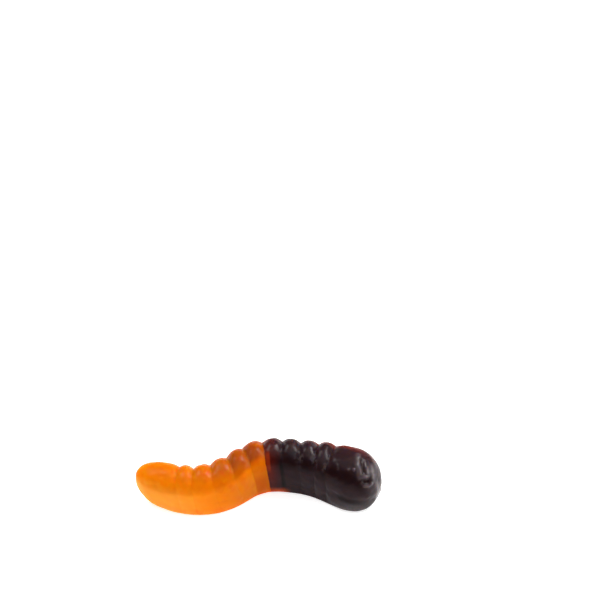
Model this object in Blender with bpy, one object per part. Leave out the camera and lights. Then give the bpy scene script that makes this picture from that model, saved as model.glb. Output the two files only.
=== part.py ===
"""Gummy worm, 65 mm long: one soft sweet of two gels, cast in one mould and set as one piece.

A D-shaped section is swept along an S that lies on the table. The flat back is down, the ribs run over
the ridge and fade down the sides, and the larger end is the head, with a small worm's face.
+X runs from the tail to the head, +Z is up, and the origin is under the middle of the worm's box.
Lengths are in millimetres up to the mesh, which is made in metres.
"""

import math

import bpy
import numpy as np

MM = 0.001

# Centre line: its length, its first heading, and each bend's middle, extent and turn in degrees
LENGTH = 65.0
TAIL_HEADING = -18.5
BENDS = ((19.2, 21.3, 63.2), (34.1, 16.2, -53.7), (47.8, 11.0, -13.9))
# Share of that heading which the ribs turn with, at the tail, the body and the head
RIB_TURN = (0.5, 0.55, 1.0)

# Section at the tail, the body and the head: half width, height, the share of it below the waist, and
# the power of the arch above the waist, where 2 is an ellipse and more is fuller
HALF_WIDTHS = (4.4, 4.8, 6.9)
HEIGHTS = (10.3, 12.9, 13.3)
WAISTS = (0.52, 0.62, 0.48)
ARCH_POWERS = (2.25, 1.95, 2.45)
TAIL_TO_BODY = (2.0, 28.0)
BODY_TO_HEAD = (42.0, 61.0)
BACK_SHARE = 0.95
BACK_EDGE = 0.7

# Round ends: how far each closes in from its tip, how far the flat back stops short, and the tip's height
TAIL_CLOSES, HEAD_CLOSES = 7.9, 9.3
TAIL_LIFTS, HEAD_LIFTS = 12.5, 4.8
TAIL_TIP, HEAD_TIP = 6.0, 4.3
END_POWER = 2.15

# Ribs: the first groove, then each rib's length
FIRST_GROOVE = 11.0
RIBS = (3.85, 4.65, 5.15, 5.15, 4.85, 4.6, 4.5, 4.2, 3.9)
LOBE_REACH = 2.6
BEAD = 1.12
BEAD_POWER = 2.4
BEAD_REACH = 7.0
BEAD_SHIFT = 1.2
WALL_GROOVE = 0.28
GROOVE_ROUND = 0.07
# How far the foot of each groove lies towards the head, from its top, and how much more on a bend
LEAN_UP = 10.0
LEAN, LEAN_ON_BEND = 1.3, 1.9
# The first groove is shallower over the ridge, and leans more
FIRST_FADES = (9.0, 16.0)
FIRST_LESS, FIRST_LEAN = 0.45, 1.5

# Fold round the chin, with the rolled rim of the flat back below it: where it runs, its depth and half width
CHIN_STARTS = (49.0, 57.0)
FOLD_UP = (5.6, 3.3)
FOLD_DEPTH, FOLD_HALF = 0.24, 1.25
RIM_UP, RIM_HEIGHT, RIM_HALF = 1.7, 0.17, 1.1

# Face, on the head's front and turned a little to one side: the middle of its sphere and its heading
FACE_BACK_FROM_TIP = 6.5
FACE_HEADING = -64.0
# Each stroke of the face: start and end (forward, left, up), radius, and height above the head
FACE = (
    ((-0.6, 0.8, 12.9), (2.1, -0.7, 12.4), 0.85, 0.26),
    ((2.1, -0.7, 12.4), (4.4, -1.3, 10.7), 0.85, 0.28),
    ((1.4, 0.8, 12.4), (3.8, 0.0, 11.4), 0.60, -0.22),
    ((2.1, 1.7, 12.1), (4.2, 0.9, 11.1), 0.65, 0.18),
    ((4.6, -0.7, 10.8), (5.0, 0.1, 10.4), 0.85, 0.28),
    ((5.3, -0.4, 9.7), (5.5, 0.4, 9.5), 0.70, -0.36),
    ((5.3, -1.5, 9.4), (5.9, -0.8, 8.7), 0.60, 0.16),
    ((5.9, -0.8, 8.7), (6.1, 0.6, 8.4), 0.60, 0.24),
    ((6.1, 0.6, 8.4), (5.8, 1.8, 8.6), 0.60, 0.24),
    ((2.2, 3.0, 11.2), (5.5, 2.1, 8.7), 0.80, 0.14),
    ((5.5, 2.8, 7.5), (5.6, 2.7, 3.8), 0.80, 0.18),
    ((-0.2, -4.9, 12.2), (0.6, -5.2, 11.6), 0.60, 0.17),
    ((2.2, -3.2, 12.1), (2.2, -3.2, 12.1), 0.60, 0.16),
    ((2.7, -2.0, 12.1), (2.7, -2.0, 12.1), 0.60, 0.20),
)

# Each stroke of the uneven tail, from the tip of the tail: start and end, radius, and height above the gel
TAIL_MARKS = (
    ((2.3, -4.3, 6.8), (5.3, -5.8, 8.0), 0.95, -0.25),
    ((3.1, -4.0, 8.8), (3.9, -4.3, 9.1), 0.90, 0.20),
    ((6.3, -5.4, 9.4), (6.6, -6.2, 8.6), 0.90, 0.12),
    ((9.2, -5.3, 10.2), (9.3, -6.5, 9.2), 0.90, 0.12),
)

# Mesh density: points round the section, rings in each stretch, and how far round its end each tip stops
BACK_POINTS, EDGE_POINTS, WALL_POINTS, ARCH_POINTS = 3, 2, 4, 15
TAIL_RINGS, RIB_RINGS, HEAD_RINGS = 14, 7, 42
TIP_ANGLE = 0.02


def smooth(t):
    """0 below 0, 1 above 1, and a soft step between."""
    t = np.clip(t, 0.0, 1.0)
    return t * t * (3.0 - 2.0 * t)


def step(s, limits):
    return smooth((s - limits[0]) / (limits[1] - limits[0]))


def grooves():
    return FIRST_GROOVE + np.concatenate([[0.0], np.cumsum(RIBS)])


def heading(s):
    turned = sum(turn * smooth((s - middle) / extent + 0.5) for middle, extent, turn in BENDS)
    return np.radians(TAIL_HEADING + turned)


def centre_line(s):
    """Points (x, y) of the centre line at the distances s from the tail's tip."""
    fine = np.linspace(0.0, LENGTH, 2001)
    angle = heading((fine[1:] + fine[:-1]) / 2)
    travel = np.diff(fine)
    x = np.concatenate([[0.0], np.cumsum(np.cos(angle) * travel)])
    y = np.concatenate([[0.0], np.cumsum(np.sin(angle) * travel)])
    return np.interp(s, fine, x), np.interp(s, fine, y)


def closing(s, tail, head):
    """1 along the body, falling to 0 at both tips as a round end does, over the lengths tail and head."""
    into_tail = np.clip(1.0 - s / tail, 0.0, 1.0)
    into_head = np.clip(1.0 - (LENGTH - s) / head, 0.0, 1.0)
    return (1.0 - np.maximum(into_tail, into_head) ** END_POWER) ** (1.0 / END_POWER)


def along(s, sizes):
    """A size that goes softly from the tail's value to the body's and on to the head's."""
    tail, body, head = sizes
    return tail + (body - tail) * step(s, TAIL_TO_BODY) + (head - body) * step(s, BODY_TO_HEAD)


def stations():
    """Distances of the rings: close together at the round ends, and evenly within each rib."""
    cut = grooves()
    tail = cut[0] * (1.0 - np.cos(np.linspace(TIP_ANGLE, math.pi / 2, TAIL_RINGS + 1)))
    ribs = [np.linspace(a, b, RIB_RINGS + 1)[1:] for a, b in zip(cut[:-1], cut[1:])]
    left = LENGTH - cut[-1]
    head = cut[-1] + left * np.sin(np.linspace(0.0, math.pi / 2 - TIP_ANGLE, HEAD_RINGS + 1))[1:]
    return np.concatenate([tail, *ribs, head])


def half_section(half, tall, waist_share, power):
    """One side of the section from the middle of the back to the ridge: (outward, up) points."""
    edge = min(BACK_EDGE, 0.3 * tall, 0.3 * half)
    waist = max(waist_share * tall, edge * 1.5)
    back = BACK_SHARE * half
    points = [((back - edge) * t, 0.0) for t in np.linspace(0.0, 1.0, BACK_POINTS + 1)]
    for t in np.linspace(0.0, math.pi / 2, EDGE_POINTS + 1)[1:]:
        points.append((back - edge + edge * math.sin(t), edge - edge * math.cos(t)))
    for t in np.linspace(0.0, 1.0, WALL_POINTS + 1)[1:]:
        points.append((back + (half - back) * math.sin(t * math.pi / 2), edge + (waist - edge) * t))
    for t in np.linspace(0.0, math.pi / 2, ARCH_POINTS + 1)[1:]:
        across = max(math.cos(t), 0.0) ** (2.0 / power)
        points.append((half * across, waist + (tall - waist) * math.sin(t) ** (2.0 / power)))
    return points


def whole_section(half, tall, waist_share, power):
    """The closed section, from the middle of the back round by the right side and over the ridge."""
    right = half_section(half, tall, waist_share, power)
    left = [(-out, up) for out, up in reversed(right[1:-1])]
    return np.array(right + left)


def bare_body(s):
    """The swept body without ribs: an array of rings, each with the same number of points."""
    x, y = centre_line(s)
    angle = heading(s) * along(s, RIB_TURN)
    closed = closing(s, TAIL_CLOSES, HEAD_CLOSES)
    tip = along(s, (TAIL_TIP, (TAIL_TIP + HEAD_TIP) / 2, HEAD_TIP))
    top = tip + (along(s, HEIGHTS) - tip) * closed
    bottom = tip - tip * closing(s, TAIL_LIFTS, HEAD_LIFTS)
    halves = along(s, HALF_WIDTHS) * closed
    waists = along(s, WAISTS)
    powers = along(s, ARCH_POWERS)
    rings = []
    for i in range(len(s)):
        section = whole_section(halves[i], top[i] - bottom[i], waists[i], powers[i])
        out, up = section[:, 0], section[:, 1] + bottom[i]
        rings.append(np.stack([x[i] + math.sin(angle[i]) * out, y[i] - math.cos(angle[i]) * out, up], 1))
    return np.array(rings)


def ridge_distance(rings):
    """Distance of each point, round its section, from the middle of the beads just beyond the ridge."""
    ridge = rings.shape[1] // 2
    gaps = np.linalg.norm(np.diff(rings, axis=1), axis=2)
    travelled = np.concatenate([np.zeros((len(rings), 1)), np.cumsum(gaps, 1)], 1)
    return np.abs(travelled - travelled[:, ridge:ridge + 1] - BEAD_SHIFT)


def normals(rings):
    """Outward normals of the swept surface, from its neighbouring points."""
    across = np.roll(rings, -1, 1) - np.roll(rings, 1, 1)
    ahead = np.gradient(rings, axis=0)
    found = np.cross(ahead, across)
    found /= np.linalg.norm(found, axis=2, keepdims=True) + 1e-12
    ridge = rings.shape[1] // 2
    if found[len(rings) // 2, ridge, 2] < 0:
        found = -found
    return found


def first(s):
    """1 about the first groove, and 0 by the second."""
    return 1.0 - step(s, FIRST_FADES)


def leaned(s, rings):
    """The distance along the worm at which each point takes its rib, as the grooves lean."""
    near = np.where(np.arange(rings.shape[1]) < rings.shape[1] // 2, 1.0, -1.0)
    down = np.clip(1.0 - rings[:, :, 2] / LEAN_UP, 0.0, 1.0)
    lean = LEAN + FIRST_LEAN * first(s)[:, None] + LEAN_ON_BEND * heading(s)[:, None] * near
    return s[:, None] - lean * down


def rib_place(s):
    """Place within a rib: 0 at its crest, 1 at the grooves on either side. The lobes beyond have 0."""
    cut = grooves()
    place = np.zeros_like(s)
    for a, b in zip(cut[:-1], cut[1:]):
        inside = (s >= a) & (s <= b)
        place[inside] = np.abs(2.0 * (s[inside] - a) / (b - a) - 1.0)
    place = np.where(s < cut[0], np.clip(1.0 - (cut[0] - s) / LOBE_REACH, 0.0, 1.0), place)
    place = np.where(s > cut[-1], np.clip(1.0 - (s - cut[-1]) / LOBE_REACH, 0.0, 1.0), place)
    off_groove = np.hypot(1.0 - place, GROOVE_ROUND) - GROOVE_ROUND
    return 1.0 - off_groove / (math.hypot(1.0, GROOVE_ROUND) - GROOVE_ROUND)


def ribs(counted, away, up):
    """How far the ribbed surface lies under the bare body: deep grooves over the ridge, faint ones below."""
    place = rib_place(counted) ** BEAD_POWER
    bead = BEAD * (1.0 - FIRST_LESS * first(counted))
    fades = smooth(away / BEAD_REACH)
    return -place * (bead + (WALL_GROOVE * smooth(up / 2.0) - bead) * fades)


def chin(s, up):
    """The fold that runs round the head above the flat back, and the rolled rim below it."""
    here = step(s, CHIN_STARTS)[:, None]
    fold_up = FOLD_UP[0] + (FOLD_UP[1] - FOLD_UP[0]) * step(s, (CHIN_STARTS[0], LENGTH))[:, None]
    fold = -FOLD_DEPTH * np.exp(-(((up - fold_up) / FOLD_HALF) ** 2))
    rim = RIM_HEIGHT * np.exp(-(((up - RIM_UP) / RIM_HALF) ** 2))
    return here * (fold + rim)


def stroke(points, start, end, radius, rise):
    """A soft ridge, or a groove where rise is negative, along a straight line near the surface."""
    start, end = np.array(start), np.array(end)
    run = end - start
    share = np.clip((points - start) @ run / max(run @ run, 1e-9), 0.0, 1.0)
    away = np.linalg.norm(points - start - share[..., None] * run, axis=-1)
    return rise * np.exp(-((away / radius) ** 2))


def strokes(points, marks):
    """Strokes together. Where they cross, only the highest and the deepest count."""
    each = np.array([stroke(points, *mark) for mark in marks])
    return each.max(0) + each.min(0)


def face(rings):
    x, y = centre_line(np.array([LENGTH - FACE_BACK_FROM_TIP]))
    turn = math.radians(FACE_HEADING)
    east, north = rings[:, :, 0] - x[0], rings[:, :, 1] - y[0]
    forward = east * math.cos(turn) + north * math.sin(turn)
    left = north * math.cos(turn) - east * math.sin(turn)
    points = np.stack([forward, left, rings[:, :, 2]], -1)
    return strokes(points, FACE)


def worm_surface():
    s = stations()
    rings = bare_body(s)
    up = rings[:, :, 2]
    relief = ribs(leaned(s, rings), ridge_distance(rings), up) + chin(s, up) * smooth(up / BACK_EDGE)
    relief += face(rings) + strokes(rings, TAIL_MARKS)
    rings = rings + normals(rings) * relief[:, :, None]
    rings[:, :, 2] = np.maximum(rings[:, :, 2], 0.0)
    return rings


def closed_mesh(name, rings):
    """A closed mesh from the rings, with a flat fan of faces at each tip."""
    count, around = rings.shape[:2]
    verts = [tuple(p) for p in rings.reshape(-1, 3) * MM]
    faces = []
    for i in range(count - 1):
        for j in range(around):
            k = (j + 1) % around
            faces.append((i * around + j, (i + 1) * around + j, (i + 1) * around + k, i * around + k))
    last = (count - 1) * around
    for start, turned in ((0, True), (last, False)):
        centre = len(verts)
        verts.append(tuple(rings[start // around].mean(0) * MM))
        for j in range(around):
            k = (j + 1) % around
            faces.append((centre, start + j, start + k) if turned else (centre, start + k, start + j))
    mesh = bpy.data.meshes.new(name)
    mesh.from_pydata(verts, [], faces)
    mesh.validate()
    mesh.shade_smooth()
    return mesh


def gel(name, colour, roughness):
    material = bpy.data.materials.new(name)
    material.use_nodes = True
    shader = material.node_tree.nodes["Principled BSDF"]
    shader.inputs["Base Color"].default_value = (*colour, 1.0)
    shader.inputs["Roughness"].default_value = roughness
    shader.inputs["Metallic"].default_value = 0.0
    return material


def main():
    for thing in list(bpy.data.objects):
        bpy.data.objects.remove(thing, do_unlink=True)
    rings = worm_surface()
    low, high = rings.min((0, 1)), rings.max((0, 1))
    rings -= np.array([(low[0] + high[0]) / 2, (low[1] + high[1]) / 2, low[2]])
    worm = bpy.data.objects.new("worm", closed_mesh("worm", rings))
    bpy.context.collection.objects.link(worm)
    worm.data.materials.append(gel("orange_gel", (0.80, 0.20, 0.01), 0.35))


main()
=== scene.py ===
"""Dresses the gummy worm: a fine mesh of the same cast form, in orange gel and dark plum gel."""

import math
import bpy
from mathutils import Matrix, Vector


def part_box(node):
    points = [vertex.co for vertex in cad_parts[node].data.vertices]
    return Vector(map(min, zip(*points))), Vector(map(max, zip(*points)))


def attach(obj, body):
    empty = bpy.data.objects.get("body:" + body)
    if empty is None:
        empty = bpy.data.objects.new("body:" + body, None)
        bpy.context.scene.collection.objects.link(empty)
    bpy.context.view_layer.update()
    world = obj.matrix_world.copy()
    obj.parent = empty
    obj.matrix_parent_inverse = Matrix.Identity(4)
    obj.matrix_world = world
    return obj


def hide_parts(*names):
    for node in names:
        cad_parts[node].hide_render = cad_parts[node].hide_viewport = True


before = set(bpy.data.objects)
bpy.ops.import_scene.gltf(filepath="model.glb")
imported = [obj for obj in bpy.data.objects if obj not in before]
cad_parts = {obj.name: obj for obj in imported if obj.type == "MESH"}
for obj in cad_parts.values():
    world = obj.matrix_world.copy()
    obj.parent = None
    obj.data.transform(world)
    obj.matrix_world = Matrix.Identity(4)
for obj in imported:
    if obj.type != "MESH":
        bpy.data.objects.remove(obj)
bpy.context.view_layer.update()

from types import SimpleNamespace

import bpy
import numpy as np
from mathutils import Vector, noise

MM = 0.001

# Lengths are in mm where nothing else is said, and places along the worm count from the tail's tip.

# Centre line: its length, its first heading, each bend's middle, extent and turn in degrees, and the number
# of short steps that it is worked out in
LENGTH = 65.0
TAIL_HEADING = -18.5
BENDS = ((19.2, 21.3, 63.2), (34.1, 16.2, -53.7), (47.8, 11.0, -13.9))
CENTRE_STEPS = 2000
# Share of that heading which the ribs turn with, at the tail, the body and the head
RIB_TURN = (0.5, 0.55, 1.0)

# Section at the tail, the body and the head: half width, height, the share of it below the waist, and
# the power of the arch above the waist, where 2 is an ellipse and more is fuller
HALF_WIDTHS = (4.4, 4.8, 6.9)
HEIGHTS = (10.3, 12.9, 13.3)
WAISTS = (0.52, 0.62, 0.48)
ARCH_POWERS = (2.25, 1.95, 2.45)
# Where the tail's section gives way to the body's, and the body's to the head's
TAIL_TO_BODY = (2.0, 28.0)
BODY_TO_HEAD = (42.0, 61.0)
# Flat back: its share of the width, the radius of its edge, the share of a small section that the radius
# may take, and how many radii up the waist lies at least
BACK_SHARE = 0.95
BACK_EDGE = 0.7
EDGE_AT_MOST = 0.3
WAIST_AT_LEAST = 1.5

# Round ends: how far each closes in from its tip, how far the flat back stops short, and the tip's height
TAIL_CLOSES, HEAD_CLOSES = 7.9, 9.3
TAIL_LIFTS, HEAD_LIFTS = 12.5, 4.8
TAIL_TIP, HEAD_TIP = 6.0, 4.3
END_POWER = 2.15

# Ribs: the first groove, each rib's length, and how far the end grooves reach into the lobes
FIRST_GROOVE = 11.0
RIBS = (3.85, 4.65, 5.15, 5.15, 4.85, 4.6, 4.5, 4.2, 3.9)
LOBE_REACH = 2.6
# Their beads over the ridge: the grooves' depth there, how full a bead is, how far round the section it
# reaches, and how far beyond the ridge its middle lies
BEAD = 1.12
BEAD_POWER = 2.4
BEAD_REACH = 7.0
BEAD_SHIFT = 1.2
# The grooves' depth down the walls, and how softly all of them are rounded
WALL_GROOVE = 0.28
GROOVE_ROUND = 0.07
# How far the foot of each groove lies towards the head, from its top, and how much more on a bend
LEAN_UP = 10.0
LEAN, LEAN_ON_BEND = 1.3, 1.9
# The first groove is shallower over the ridge by this share, and leans this much more: where that fades out
FIRST_FADES = (9.0, 16.0)
FIRST_LESS, FIRST_LEAN = 0.45, 1.5

# Fold round the chin: where it starts, how high it lies there and at the tip, its depth and half width
CHIN_STARTS = (49.0, 57.0)
FOLD_UP = (5.6, 3.3)
FOLD_DEPTH, FOLD_HALF = 0.24, 1.25
# Rolled rim of the flat back below the fold: how high it lies, its relief and half width
RIM_UP, RIM_HEIGHT, RIM_HALF = 1.7, 0.17, 1.1

# Face, on the head's front and turned a little to one side: the middle of its sphere and its heading
FACE_BACK_FROM_TIP = 6.5
FACE_HEADING = -64.0
# Each stroke of the face: start and end (forward, left, up), radius, and height above the head
FACE = (
    ((-0.6, 0.8, 12.9), (2.1, -0.7, 12.4), 0.85, 0.26),
    ((2.1, -0.7, 12.4), (4.4, -1.3, 10.7), 0.85, 0.28),
    ((1.4, 0.8, 12.4), (3.8, 0.0, 11.4), 0.54, -0.19),
    ((2.1, 1.7, 12.1), (4.2, 0.9, 11.1), 0.60, 0.18),
    ((4.6, -0.7, 10.8), (5.0, 0.1, 10.4), 0.85, 0.28),
    ((5.3, -0.4, 9.7), (5.5, 0.4, 9.5), 0.65, -0.36),
    ((5.3, -1.3, 9.5), (5.85, -0.75, 8.75), 0.48, 0.18),
    ((5.85, -0.75, 8.75), (6.1, 0.5, 8.42), 0.50, 0.30),
    ((6.1, 0.5, 8.42), (5.85, 1.7, 8.6), 0.52, 0.30),
    ((2.2, 3.0, 11.2), (5.5, 2.1, 8.7), 0.80, 0.14),
    ((5.5, 2.8, 7.5), (5.6, 2.7, 3.8), 0.80, 0.18),
    ((-0.2, -4.9, 12.2), (0.6, -5.2, 11.6), 0.45, 0.18),
    ((2.2, -3.2, 12.1), (2.2, -3.2, 12.1), 0.42, 0.24),
    ((2.75, -2.05, 12.05), (2.85, -2.1, 11.95), 0.46, 0.28),
)

# Each stroke of the uneven tail, from the tip of the tail: start and end, radius, and height above the gel
TAIL_MARKS = (
    ((2.3, -4.3, 6.8), (5.3, -5.8, 8.0), 0.95, -0.25),
    ((3.1, -4.0, 8.8), (3.9, -4.3, 9.1), 0.90, 0.20),
    ((6.3, -5.4, 9.4), (6.6, -6.2, 8.6), 0.60, 0.16),
    ((7.7, -5.9, 9.6), (7.9, -6.5, 9.0), 0.60, -0.12),
    ((9.2, -5.3, 10.2), (9.3, -6.5, 9.2), 0.60, 0.16),
)

# Unevenness of the cast gel: size of each kind of lump and its height
LUMPS = ((3.6, 0.12), (1.4, 0.06), (0.9, 0.03))
# Dish that sets in the poured back: its depth, its rim as a share of the way round from the ridge, where it
# starts and ends, and how near the table a point is part of the back
DISH = 0.25
DISH_RIM = (0.80, 0.92)
DISH_STARTS, DISH_ENDS = (12.0, 16.0), (57.0, 61.0)
BACK_UP = 0.05

# Mesh density: points round the section, rings in each stretch, and how far round its end each tip stops
BACK_POINTS, EDGE_POINTS, WALL_POINTS, ARCH_POINTS = 10, 6, 22, 52
TAIL_RINGS, RIB_RINGS, HEAD_RINGS = 60, 34, 140
TIP_ANGLE = 0.02

# The two gels: the groove where they meet, and how far the line between them is blurred and wanders
MEETING = FIRST_GROOVE + sum(RIBS[:5])
BLUR, WANDER = 0.12, 0.3
# How far beyond the ridge, round the section, the dark gel is thin, where red light is painted on it
FAR_RIM = 4.4
# The one groove that has painted shade down the wall
SHADED_GROOVE = FIRST_GROOVE + sum(RIBS[:6])
# Added to the distance from the chin's fold where there is no fold
NO_FOLD = 9.0

# Colours as the eye sees them, from 0 to 255. The orange gel's walls and ridge, at the tail and where the
# gels meet
WALL_AT_TAIL, WALL_AT_MEETING = (252, 141, 4), (212, 106, 0)
RIDGE_AT_TAIL, RIDGE_AT_MEETING = (214, 110, 0), (144, 63, 0)
# What is painted in the orange gel, from the first layer to the last, and the light painted into its lower
# edge as a glow
# Painted darker and lighter steps of light through the walls, patches of random tone, browner gel near the
# plum gel
DEEP, LIT, PATCH, BROWN = (206, 90, 0), (255, 152, 24), (214, 92, 0), (148, 61, 1)
# A painted shadow at the last rib's foot, and painted light from the white table on the wall and the foot
LAST_FOOT_SHADOW, UPLIT_WALL, UPLIT_FOOT = (194, 88, 16), (255, 160, 56), (250, 146, 60)
GLOW = (180, 122, 58)
NO_GLOW = (0, 0, 0)
# The plum gel's two tones, and what is painted in it, from the first layer to the last
PLUM, PALER_PLUM = (36, 18, 22), (42, 23, 28)
# Painted shade under the beads, painted red light on the thin rim and beside the orange gel, a red streak,
# painted shade in a groove
SHADE, RIM_LIGHT_RED, ORANGE_LIGHT_RED, STREAK, GROOVE_SHADE = (28, 7, 8), (106, 27, 8), (96, 18, 6), (168, 56, 14), (14, 4, 5)
# Painted highlights on the flanks, a red foot, painted shade in the chin's fold, a painted sheen on the
# face's strokes, painted shade in its hollows
FLANK_HIGHLIGHT, RED_FOOT, CREASE, RAISED_SHEEN, HOLLOW_SHADE = (92, 82, 87), (214, 88, 34), (22, 7, 8), (84, 70, 74), (24, 6, 5)

# White table, in metres: half its width, and how far it lies below the worm so that the two don't flicker
TABLE_HALF = 2.0
TABLE_GAP = 0.00002

# Soft lights: azimuth and elevation in degrees, distance and size in metres, and power in watts
SOFTBOXES = {
    "left_softbox": ((-125.0, 50.0), 0.70, 0.28, 2.0),
    "right_softbox": ((125.0, 50.0), 0.70, 0.36, 4.2),
    "low_softbox": ((98.0, 12.0), 0.70, 0.36, 2.4),
}
# Light from all round: its strength low down and overhead, and the share of the height over which it grows
SKY_LOW, SKY_HIGH = 0.22, 1.2
SKY_GROWS = (0.70, 0.97)

# The photo's view: the camera's place in metres, how steeply it looks down in degrees, its sensor's width,
# and its focal length and the photo's width in pixels
CAMERA_AT = (0.01126, -0.46746, 0.45343)
LOOKS_DOWN = 40.0
SENSOR = 36.0
FOCAL_PIXELS, PHOTO_PIXELS = 2600.0, 608.0
# Nothing nearer to the camera than this shows, in metres
CLIP_START = 0.01


def smooth(t):
    """0 below 0, 1 above 1, and a soft step between."""
    t = np.clip(t, 0.0, 1.0)
    return t * t * (3.0 - 2.0 * t)


def step(s, limits):
    """0 below the first limit, 1 above the second, and a soft step between."""
    return smooth((s - limits[0]) / (limits[1] - limits[0]))


def grooves():
    """Places of the ten grooves along the worm."""
    return FIRST_GROOVE + np.concatenate([[0.0], np.cumsum(RIBS)])


def heading(s):
    """Heading of the centre line in radians, from +X towards +Y."""
    turned = sum(turn * smooth((s - middle) / extent + 0.5) for middle, extent, turn in BENDS)
    return np.radians(TAIL_HEADING + turned)


def centre_line(s):
    """Points (x, y) of the centre line at the distances s from the tail's tip."""
    fine = np.linspace(0.0, LENGTH, CENTRE_STEPS + 1)
    angle = heading((fine[1:] + fine[:-1]) / 2)
    travel = np.diff(fine)
    x = np.concatenate([[0.0], np.cumsum(np.cos(angle) * travel)])
    y = np.concatenate([[0.0], np.cumsum(np.sin(angle) * travel)])
    return np.interp(s, fine, x), np.interp(s, fine, y)


def closing(s, tail, head):
    """1 along the body, falling to 0 at both tips as a round end does, over the lengths tail and head."""
    into_tail = np.clip(1.0 - s / tail, 0.0, 1.0)
    into_head = np.clip(1.0 - (LENGTH - s) / head, 0.0, 1.0)
    return (1.0 - np.maximum(into_tail, into_head) ** END_POWER) ** (1.0 / END_POWER)


def along(s, sizes):
    """A size that goes softly from the tail's value to the body's and on to the head's."""
    tail, body, head = sizes
    return tail + (body - tail) * step(s, TAIL_TO_BODY) + (head - body) * step(s, BODY_TO_HEAD)


def stations():
    """Distances of the rings: close together at the round ends, and evenly within each rib."""
    cut = grooves()
    tail = cut[0] * (1.0 - np.cos(np.linspace(TIP_ANGLE, math.pi / 2, TAIL_RINGS + 1)))
    ribs = [np.linspace(a, b, RIB_RINGS + 1)[1:] for a, b in zip(cut[:-1], cut[1:])]
    left = LENGTH - cut[-1]
    head = cut[-1] + left * np.sin(np.linspace(0.0, math.pi / 2 - TIP_ANGLE, HEAD_RINGS + 1))[1:]
    return np.concatenate([tail, *ribs, head])


def half_section(half, tall, waist_share, power):
    """One side of the section from the middle of the back to the ridge: (outward, up) points."""
    edge = min(BACK_EDGE, EDGE_AT_MOST * tall, EDGE_AT_MOST * half)
    waist = max(waist_share * tall, edge * WAIST_AT_LEAST)
    back = BACK_SHARE * half
    points = [((back - edge) * t, 0.0) for t in np.linspace(0.0, 1.0, BACK_POINTS + 1)]
    for t in np.linspace(0.0, math.pi / 2, EDGE_POINTS + 1)[1:]:
        points.append((back - edge + edge * math.sin(t), edge - edge * math.cos(t)))
    for t in np.linspace(0.0, 1.0, WALL_POINTS + 1)[1:]:
        points.append((back + (half - back) * math.sin(t * math.pi / 2), edge + (waist - edge) * t))
    for t in np.linspace(0.0, math.pi / 2, ARCH_POINTS + 1)[1:]:
        across = max(math.cos(t), 0.0) ** (2.0 / power)
        points.append((half * across, waist + (tall - waist) * math.sin(t) ** (2.0 / power)))
    return points


def whole_section(half, tall, waist_share, power):
    """The closed section, from the middle of the back round by the right side and over the ridge."""
    right = half_section(half, tall, waist_share, power)
    left = [(-out, up) for out, up in reversed(right[1:-1])]
    return np.array(right + left)


def bare_body(s):
    """The swept body without ribs: an array of rings, each with the same number of points."""
    x, y = centre_line(s)
    angle = heading(s) * along(s, RIB_TURN)
    closed = closing(s, TAIL_CLOSES, HEAD_CLOSES)
    tip = along(s, (TAIL_TIP, (TAIL_TIP + HEAD_TIP) / 2, HEAD_TIP))
    top = tip + (along(s, HEIGHTS) - tip) * closed
    bottom = tip - tip * closing(s, TAIL_LIFTS, HEAD_LIFTS)
    halves = along(s, HALF_WIDTHS) * closed
    waists = along(s, WAISTS)
    powers = along(s, ARCH_POWERS)
    rings = []
    for i in range(len(s)):
        section = whole_section(halves[i], top[i] - bottom[i], waists[i], powers[i])
        out, up = section[:, 0], section[:, 1] + bottom[i]
        rings.append(np.stack([x[i] + math.sin(angle[i]) * out, y[i] - math.cos(angle[i]) * out, up], 1))
    return np.array(rings)


def from_ridge(rings):
    """Distance of each point from the ridge round its section: below 0 on the near side."""
    ridge = rings.shape[1] // 2
    gaps = np.linalg.norm(np.diff(rings, axis=1), axis=2)
    travelled = np.concatenate([np.zeros((len(rings), 1)), np.cumsum(gaps, 1)], 1)
    return travelled - travelled[:, ridge:ridge + 1]


def normals(rings):
    """Outward normals of the swept surface, from its neighbouring points."""
    across = np.roll(rings, -1, 1) - np.roll(rings, 1, 1)
    ahead = np.gradient(rings, axis=0)
    found = np.cross(ahead, across)
    found /= np.linalg.norm(found, axis=2, keepdims=True) + 1e-12
    ridge = rings.shape[1] // 2
    if found[len(rings) // 2, ridge, 2] < 0:
        found = -found
    return found


def first(s):
    """1 about the first groove, and 0 by the second."""
    return 1.0 - step(s, FIRST_FADES)


def leaned(s, rings):
    """The distance along the worm at which each point takes its rib, as the grooves lean."""
    place = np.arange(rings.shape[1])
    to_back = np.minimum(place, rings.shape[1] - place) / BACK_POINTS
    near = np.where(place < rings.shape[1] // 2, 1.0, -1.0) * np.clip(to_back, 0.0, 1.0)
    down = np.clip(1.0 - rings[:, :, 2] / LEAN_UP, 0.0, 1.0)
    lean = LEAN + FIRST_LEAN * first(s)[:, None] + LEAN_ON_BEND * heading(s)[:, None] * near
    return s[:, None] - lean * down


def rib_phase(s):
    """Place within a rib, from -1 at the groove on the tail's side to 1 at the other. The lobes have 0."""
    cut = grooves()
    inner = np.clip(np.searchsorted(cut, s) - 1, 0, len(RIBS) - 1)
    phase = 2.0 * (s - cut[inner]) / np.array(RIBS)[inner] - 1.0
    return np.where((s > cut[0]) & (s < cut[-1]), phase, 0.0)


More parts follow.
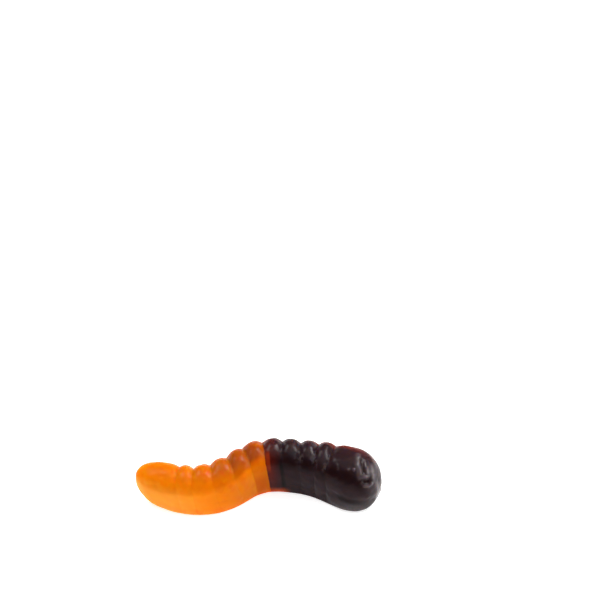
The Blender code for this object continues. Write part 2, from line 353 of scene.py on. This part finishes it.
def rib_place(s):
    """Place within a rib: 0 at its crest, 1 at the grooves on either side. The lobes beyond have 0."""
    cut = grooves()
    place = np.zeros_like(s)
    for a, b in zip(cut[:-1], cut[1:]):
        inside = (s >= a) & (s <= b)
        place[inside] = np.abs(2.0 * (s[inside] - a) / (b - a) - 1.0)
    place = np.where(s < cut[0], np.clip(1.0 - (cut[0] - s) / LOBE_REACH, 0.0, 1.0), place)
    place = np.where(s > cut[-1], np.clip(1.0 - (s - cut[-1]) / LOBE_REACH, 0.0, 1.0), place)
    off_groove = np.hypot(1.0 - place, GROOVE_ROUND) - GROOVE_ROUND
    return 1.0 - off_groove / (math.hypot(1.0, GROOVE_ROUND) - GROOVE_ROUND)


def ribs(counted, away, up):
    """How far the ribbed surface lies under the bare body: deep grooves over the ridge, faint ones below."""
    place = rib_place(counted) ** BEAD_POWER
    bead = BEAD * (1.0 - FIRST_LESS * first(counted))
    fades = smooth(np.abs(away - BEAD_SHIFT) / BEAD_REACH)
    return -place * (bead + (WALL_GROOVE * smooth(up / 2.0) - bead) * fades)


def fold_up(s):
    """Height of the fold round the chin, which comes down towards the tip."""
    return (FOLD_UP[0] + (FOLD_UP[1] - FOLD_UP[0]) * step(s, (CHIN_STARTS[0], LENGTH)))[:, None]


def chin(s, up):
    """The fold that runs round the head above the flat back, and the rolled rim below it."""
    here = step(s, CHIN_STARTS)[:, None]
    fold = -FOLD_DEPTH * np.exp(-(((up - fold_up(s)) / FOLD_HALF) ** 2))
    rim = RIM_HEIGHT * np.exp(-(((up - RIM_UP) / RIM_HALF) ** 2))
    return here * (fold + rim)


def stroke(points, start, end, radius, rise):
    """A soft ridge, or a groove where rise is negative, along a straight line near the surface."""
    start, end = np.array(start), np.array(end)
    run = end - start
    share = np.clip((points - start) @ run / max(run @ run, 1e-9), 0.0, 1.0)
    away = np.linalg.norm(points - start - share[..., None] * run, axis=-1)
    return rise * np.exp(-((away / radius) ** 2))


def strokes(points, marks):
    """Strokes together. Where they cross, only the highest and the deepest count."""
    each = np.array([stroke(points, *mark) for mark in marks])
    return each.max(0) + each.min(0)


def face(rings):
    """Height of the face's strokes above the head."""
    x, y = centre_line(np.array([LENGTH - FACE_BACK_FROM_TIP]))
    turn = math.radians(FACE_HEADING)
    east, north = rings[:, :, 0] - x[0], rings[:, :, 1] - y[0]
    forward = east * math.cos(turn) + north * math.sin(turn)
    left = north * math.cos(turn) - east * math.sin(turn)
    points = np.stack([forward, left, rings[:, :, 2]], -1)
    return strokes(points, FACE)


def lumps(rings):
    """The gentle unevenness that a starch mould leaves on the gel."""
    flat = rings.reshape(-1, 3)
    total = np.zeros(len(flat))
    for size, height in LUMPS:
        total += height * np.array([noise.noise(Vector(p / size)) for p in flat])
    return total.reshape(rings.shape[:2])


def worm_surface():
    """The rings of the fine mesh, and the marks that its finish follows, one value for each point."""
    s = stations()
    rings = bare_body(s)
    up = rings[:, :, 2]
    away = from_ridge(rings)
    above = smooth(up / BACK_EDGE)
    raised = face(rings)
    counted = leaned(s, rings)
    relief = ribs(counted, away, up) + (chin(s, up) + lumps(rings)) * above
    relief += raised + strokes(rings, TAIL_MARKS)
    middle = np.abs(away) / np.abs(away).max(1, keepdims=True)
    reach = step(s, DISH_STARTS) * (1.0 - step(s, DISH_ENDS))
    dish = DISH * step(middle, DISH_RIM) * (up < BACK_UP) * reach[:, None]
    out = normals(rings)
    moved = rings + out * relief[:, :, None]
    moved[:, :, 2] = np.maximum(moved[:, :, 2], 0.0) + dish
    marks = {
        "along": counted,
        "phase": rib_phase(counted),
        "up": up,
        "ridge": np.abs(away),
        "crest": np.abs(away - BEAD_SHIFT),
        "far": np.abs(away - FAR_RIM),
        "face": raised,
        "fold": np.abs(up - fold_up(s)) + NO_FOLD * (1.0 - step(s, CHIN_STARTS))[:, None],
        "east": out[:, :, 0],
        "down": -out[:, :, 2],
    }
    return moved, marks


def into_box(rings, low, high):
    """The same rings, moved and drawn in by a hair so that they fill the solid's box and no more."""
    own_low, own_high = rings.min((0, 1)), rings.max((0, 1))
    share = (np.array(high) / MM - np.array(low) / MM) / (own_high - own_low)
    return np.array(low) / MM + (rings - own_low) * np.minimum(share, 1.0)


def closed_mesh(name, rings, marks):
    """A closed mesh from the rings, with a flat fan of faces at each tip and the marks as attributes."""
    count, around = rings.shape[:2]
    last = (count - 1) * around
    tips = [rings[0].mean(0), rings[-1].mean(0)]
    verts = np.concatenate([rings.reshape(-1, 3), tips]) * MM
    i, j = np.meshgrid(np.arange(count - 1), np.arange(around), indexing="ij")
    k = (j + 1) % around
    quads = np.stack([i * around + j, (i + 1) * around + j, (i + 1) * around + k, i * around + k], -1)
    faces = quads.reshape(-1, 4).tolist()
    for j in range(around):
        k = (j + 1) % around
        faces.append((len(verts) - 2, j, k))
        faces.append((len(verts) - 1, last + k, last + j))
    mesh = bpy.data.meshes.new(name)
    mesh.from_pydata(verts.tolist(), [], faces)
    for mark, values in marks.items():
        ends = [values[0].mean(), values[-1].mean()]
        layer = mesh.attributes.new(mark, "FLOAT", "POINT")
        layer.data.foreach_set("value", np.concatenate([values.reshape(-1), ends]).astype(np.float32))
    mesh.shade_smooth()
    return mesh


class Value:
    """A number or a colour that varies over a surface or the sky. Arithmetic on it adds Math nodes."""

    def __init__(self, shading, socket):
        self.shading = shading
        self.socket = socket

    def math(self, operation, *others):
        inputs = dict(enumerate((self, *others)))
        return self.shading.add("ShaderNodeMath", {"operation": operation}, inputs)

    def __add__(self, other):
        return self.math("ADD", other)

    __radd__ = __add__

    def __sub__(self, other):
        return self.math("SUBTRACT", other)

    def __rsub__(self, other):
        return self.shading.add("ShaderNodeMath", {"operation": "SUBTRACT"}, {0: other, 1: self})

    def __mul__(self, other):
        return self.math("MULTIPLY", other)

    __rmul__ = __mul__

    def __abs__(self):
        return self.math("ABSOLUTE")

    def rise(self, low, high):
        """0 up to low, 1 from high, and a soft step between. Where low is above high, it falls instead."""
        return self.shading.add(
            "ShaderNodeMapRange",
            {"interpolation_type": "SMOOTHSTEP"},
            {"Value": self, "From Min": low, "From Max": high},
        )

    def beyond(self, place, blur):
        """0 below the place and 1 above it, with a short blur on both sides of it."""
        return self.rise(place - blur, place + blur)

    def before(self, place, blur):
        """1 below the place and 0 above it, with the same blur."""
        return self.rise(place + blur, place - blur)


class Shading:
    """A node tree, and one way to add nodes to it."""

    def __init__(self, tree):
        self.tree = tree

    def feed(self, socket, value):
        if isinstance(value, Value):
            self.tree.links.new(value.socket, socket)
        else:
            socket.default_value = value

    def add(self, kind, settings, sockets, output=0):
        """Adds a node of this kind, sets it, fills its sockets and gives one of its outputs."""
        node = self.tree.nodes.new(kind)
        for name, setting in settings.items():
            setattr(node, name, setting)
        for name, value in sockets.items():
            self.feed(node.inputs[name], value)
        return Value(self, node.outputs[output])


class Finish(Shading):
    """A material, with the few kinds of node that the worm's finish is made of."""

    def __init__(self, name):
        self.material = bpy.data.materials.new(name)
        self.material.use_nodes = True
        super().__init__(self.material.node_tree)
        self.shader = self.tree.nodes["Principled BSDF"]

    def mark(self, name):
        return self.add("ShaderNodeAttribute", {"attribute_name": name}, {}, "Fac")

    def mottle(self, size, detail=2.0):
        """Cloudy noise of about this size in millimetres, between 0 and 1."""
        place = self.add("ShaderNodeTexCoord", {}, {}, "Object")
        sockets = {"Vector": place, "Scale": 1.0 / (size * MM), "Detail": detail}
        return self.add("ShaderNodeTexNoise", {}, sockets)

    def blend(self, share, first, second):
        """The first colour where share is 0, and the second where it is 1."""
        pair = [tone if isinstance(tone, Value) else linear(tone) for tone in (first, second)]
        return self.add("ShaderNodeMix", {"data_type": "RGBA"}, {0: share, 6: pair[0], 7: pair[1]}, 2)

    def paint(self, ground, *layers):
        """The ground colour under thin layers, each given as its share and its colour."""
        for share, tone in layers:
            ground = self.blend(share, ground, tone)
        return ground

    def set(self, **sockets):
        for name, value in sockets.items():
            self.feed(self.shader.inputs[name.replace("_", " ")], value)


def linear(tone):
    """A colour given in the eye's scale from 0 to 255, as the linear light that a shader takes."""
    shares = [part / 255.0 for part in tone]
    return (*[c / 12.92 if c <= 0.04045 else ((c + 0.055) / 1.055) ** 2.4 for c in shares], 1.0)


def find_places(finish, names):
    """The marks of the mesh, and the places on the worm that both the colours and the sheen go by."""
    at = SimpleNamespace(**{name: finish.mark(name) for name in names})
    # Distance past the line between the gels, and 1 in the plum gel
    at.past = at.along - (MEETING + WANDER * (finish.mottle(1.6) - 0.5))
    at.dark = at.past.beyond(0.0, BLUR)
    # 1 on the flat back, on the head, and on the far rim where the plum gel is thin and red light is painted
    # on it
    at.belly = at.down.rise(0.40, 0.75)
    at.front = at.along.rise(50.0, 60.0)
    at.thin = at.far.rise(3.2, 0.5) * at.up.rise(7.5, 12.0)
    at.thin *= 0.4 + 0.6 * at.along.rise(42.0, 47.0) - 0.7 * at.along.rise(55.0, 61.0)
    # How much lower the finish of the last bead before the head lies
    at.drop = 1.4 * at.along.rise(47.9, 49.5) * at.along.rise(54.0, 52.0)
    # 1 in the fold of the chin, on the raised strokes of the face, and in its hollows: painted shade goes in
    # the fold and the hollows, and a painted sheen on the strokes
    at.crease = at.fold.rise(1.5, 0.3) * at.along.rise(63.0, 59.0)
    at.raised = at.face.rise(0.02, 0.25)
    at.hollow = at.face.rise(-0.03, -0.20)
    return at


def orange_gel(finish, at):
    """Clear orange gel: paler by the tail, with painted light from the table and a painted shadow, and
    browner near the plum gel.
    """
    cut = grooves()
    ripe = (at.along + 4.0 * (finish.mottle(4.0) - 0.5)).rise(8.0, 36.0)
    walls = finish.blend(ripe, WALL_AT_TAIL, WALL_AT_MEETING)
    ridge = finish.blend(ripe, RIDGE_AT_TAIL, RIDGE_AT_MEETING)
    on_ridge = (at.crest + 0.5 * at.along.rise(20.0, 13.0)).rise(6.8, 2.0) * at.along.rise(-1.0, 5.0)

    # Steps in the light that comes through the walls: each starts or ends at a groove
    wall = at.ridge.rise(6.0, 8.0)
    third_rib = at.along.beyond(cut[2], 0.1) * at.along.before(cut[3], 0.15)
    deep = 0.3 * wall * third_rib * at.phase.rise(-0.8, 1.0)
    lit_ribs = at.along.before(cut[1], 0.05) + 0.7 * at.along.beyond(cut[3], 0.15)
    lit = 0.45 * wall * (at.phase.rise(0.1, 0.9) * lit_ribs) * at.along.before(cut[4], 0.1)
    patches = finish.mottle(2.4, 1.0).rise(0.50, 0.66) * at.up.rise(2.0, 5.0)
    patches *= 0.5 + 0.5 * at.along.rise(14.0, 20.0)

    # Browner upper part of the ribs near the plum gel, and a painted shadow at the foot of the last one
    last_rib = at.along.beyond(cut[4] + 0.2, 0.3)
    reach = at.crest + 1.3 * last_rib - 1.2 * at.along.rise(28.0, 24.0)
    brown = reach.rise(6.8, 5.2) * at.along.rise(17.0, 31.0)
    brown *= 1.0 - 0.8 * at.past.rise(-3.0, -1.2)
    last_foot_shadow = last_rib * at.up.rise(8.0, 5.0) * (1.0 - 0.6 * at.past.rise(-2.6, -0.6))

    # Painted light from the white table below on the tail, less beyond the second groove
    lit_below = 1.0 - 0.45 * at.along.beyond(cut[1], 0.15)
    pale = at.down.rise(-0.50, 0.40) * (1.0 - at.belly) * at.along.rise(17.0, 8.0) * lit_below
    foot = at.up.rise(3.0, 0.2) * lit_below
    return finish.paint(
        walls,
        (on_ridge, ridge),
        (deep, DEEP),
        (lit, LIT),
        (0.3 * patches, PATCH),
        ((0.55 + 0.30 * last_rib) * brown, BROWN),
        (0.6 * last_foot_shadow, LAST_FOOT_SHADOW),
        (0.75 * pale, UPLIT_WALL),
        (0.5 * foot, UPLIT_FOOT),
    )


def plum_gel(finish, at):
    """Dark plum gel: nearly black, with painted shade and highlights, and painted red light at its thin rim
    and by the orange gel.
    """
    tones = finish.blend(finish.mottle(4.0), PLUM, PALER_PLUM)
    # Painted shade in a band under the beads, and painted highlights on their near flanks
    shade_at = 5.4 + 1.4 * at.drop + 0.9 * at.along.rise(53.0, 57.0)
    shade = abs(at.ridge - shade_at).rise(2.5, 0.6) * (1.0 - 0.6 * abs(at.phase).rise(0.5, 0.9))
    flank = abs(at.crest - at.drop - 4.8).rise(1.8, 0.3) * abs(at.phase).rise(0.2, 0.7)
    flank *= finish.mottle(1.1).rise(0.40, 0.62)
    painted_highlight = flank * at.along.rise(40.0, 45.0) * at.along.rise(53.0, 52.0)
    # Red beside the orange gel: painted light from it over the whole rib, and red in a streak at the line
    # and along the foot
    orange_light = at.past.rise(5.0, 0.0) * at.up.rise(-2.0, 7.0) * (1.0 - 0.4 * at.crest.rise(5.0, 2.0))
    streak = abs(at.past - 0.7).rise(0.9, 0.3) * at.ridge.rise(1.5, 3.5) * at.up.rise(6.5, 9.5)
    under = at.up.rise(2.3, 0.2) * at.past.rise(7.0, 3.0) * (1.0 - at.belly)
    # Painted shade in the one groove that stays dark down the wall
    groove_shade = abs(at.along - SHADED_GROOVE).rise(0.9, 0.2) * at.ridge.rise(4.0, 7.0)
    return finish.paint(
        tones,
        ((0.8 - 0.3 * at.front) * shade, SHADE),
        (0.85 * at.thin, RIM_LIGHT_RED),
        (0.85 * orange_light, ORANGE_LIGHT_RED),
        (0.6 * streak, STREAK),
        (0.85 * groove_shade * (1.0 - at.belly), GROOVE_SHADE),
        (0.4 * painted_highlight, FLANK_HIGHLIGHT),
        (0.9 * under, RED_FOOT),
        (0.85 * at.crease, CREASE),
        (0.5 * at.raised, RAISED_SHEEN),
        (0.9 * at.hollow, HOLLOW_SHADE),
    )


def sheen(finish, at):
    """How much the gel's skin shines: on the beads over the ridge, and in all, in that order."""
    beads = (at.crest - at.drop).rise(6.6, 4.0) * (1.0 - 0.7 * abs(at.phase).rise(0.80, 0.97))
    beads *= 0.85 * at.along.rise(4.0, 13.0) + 0.15 * at.along.rise(17.0, 24.0)
    beads *= 1.0 - 0.6 * at.along.rise(50.0, 53.0)
    beads *= 0.55 + 0.5 * at.phase.rise(-0.6, 0.3)
    beads *= 0.55 + 0.75 * finish.mottle(1.0, 1.0).rise(0.36, 0.62)
    # The dark gel also shines low on its walls, on the face, and on the head's rim and right side
    side = at.east.rise(0.30, 0.75) * (1.0 - 0.7 * at.east.rise(0.80, 0.96))
    turned = at.front * (0.7 * at.up.rise(4.2, 1.5) + 0.38 * side)
    dark_sheen = 0.06 + 0.10 * at.up.rise(7.5, 4.0) + 0.22 * at.raised + turned
    for dull in (0.8 * at.hollow, 0.8 * at.belly, 0.6 * at.crease):
        dark_sheen *= 1.0 - dull
    shine = 0.03 + (0.14 + 0.06 * at.dark) * beads + at.dark * dark_sheen
    return beads, shine * (1.0 - 0.7 * at.dark * at.thin)


def two_gels(names):
    """The worm's finish, which follows the marks of these names."""
    finish = Finish("two_gels")
    at = find_places(finish, names)
    beads, shine = sheen(finish, at)
    # Painted light in the lower edges of the tail, given as a glow
    glow = at.down.rise(-0.15, 0.45) * (1.0 - at.belly) * at.along.rise(22.0, 12.0)
    finish.set(
        Base_Color=finish.blend(at.dark, orange_gel(finish, at), plum_gel(finish, at)),
        Roughness=0.28 + 0.10 * beads + 0.08 * finish.mottle(0.9),
        Subsurface_Weight=1.0,
        Subsurface_Radius=(1.0, 0.35, 0.08),
        Subsurface_Scale=0.0022,
        IOR=1.46,
        Specular_IOR_Level=0.03,
        Coat_Weight=shine,
        Coat_Roughness=0.24,
        Emission_Color=finish.blend(glow, NO_GLOW, GLOW),
        Emission_Strength=1.0,
    )
    return finish.material


def lay_worm():
    """The fine mesh with its finish, in place of the solid."""
    low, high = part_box("worm")
    rings, marks = worm_surface()
    rings = into_box(rings, low, high)
    worm = bpy.data.objects.new("cast_gel", closed_mesh("cast_gel", rings, marks))
    bpy.context.collection.objects.link(worm)
    worm.data.materials.append(two_gels(marks.keys()))
    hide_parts("worm")
    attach(worm, "root")


def lay_table():
    """A plain white table, far wider than the view."""
    corners = [(x * TABLE_HALF, y * TABLE_HALF, 0.0) for x, y in ((-1, -1), (1, -1), (1, 1), (-1, 1))]
    mesh = bpy.data.meshes.new("table")
    mesh.from_pydata(corners, [], [(0, 1, 2, 3)])
    table = bpy.data.objects.new("table", mesh)
    table.location.z = -TABLE_GAP
    bpy.context.collection.objects.link(table)
    paper = Finish("white_table")
    paper.set(
        Base_Color=(0.70, 0.70, 0.70, 1.0),
        Roughness=0.7,
        Emission_Color=(1.0, 1.0, 1.0, 1.0),
        Emission_Strength=0.75,
    )
    table.data.materials.append(paper.material)


def softbox(name, toward, distance, size, watts):
    """A square soft light that shines at the worm from the direction given as azimuth and elevation."""
    azimuth, elevation = (math.radians(angle) for angle in toward)
    away = Vector((
        math.sin(azimuth) * math.cos(elevation),
        -math.cos(azimuth) * math.cos(elevation),
        math.sin(elevation),
    ))
    light = bpy.data.lights.new(name, "AREA")
    light.size = size
    light.energy = watts
    lamp = bpy.data.objects.new(name, light)
    lamp.location = away * distance
    lamp.rotation_mode = "QUATERNION"
    lamp.rotation_quaternion = away.to_track_quat("Z", "Y")
    bpy.context.collection.objects.link(lamp)


def light_studio():
    """Three soft lights, and an even light from all round that is strongest overhead."""
    for name, placed in SOFTBOXES.items():
        softbox(name, *placed)
    world = bpy.data.worlds.new("studio")
    world.use_nodes = True
    sky = Shading(world.node_tree)
    direction = sky.add("ShaderNodeTexCoord", {}, {}, "Generated")
    height = sky.add("ShaderNodeSeparateXYZ", {}, {0: direction}, "Z")
    background = world.node_tree.nodes["Background"]
    background.inputs["Color"].default_value = (1.0, 1.0, 1.0, 1.0)
    strength = SKY_LOW + (SKY_HIGH - SKY_LOW) * height.rise(*SKY_GROWS)
    sky.feed(background.inputs["Strength"], strength)
    bpy.context.scene.world = world


def set_camera():
    """The camera of the photo, and plain colours as the photo has them."""
    down = math.radians(LOOKS_DOWN)
    back = Vector((0.0, -math.cos(down), math.sin(down)))
    camera = bpy.data.objects.new("camera", bpy.data.cameras.new("camera"))
    camera.data.sensor_width = SENSOR
    camera.data.lens = SENSOR * FOCAL_PIXELS / PHOTO_PIXELS
    camera.data.clip_start = CLIP_START
    camera.location = CAMERA_AT
    camera.rotation_mode = "QUATERNION"
    camera.rotation_quaternion = (-back).to_track_quat("-Z", "Y")
    bpy.context.collection.objects.link(camera)
    bpy.context.scene.camera = camera
    bpy.context.scene.view_settings.view_transform = "Standard"


lay_worm()
lay_table()
light_studio()
set_camera()
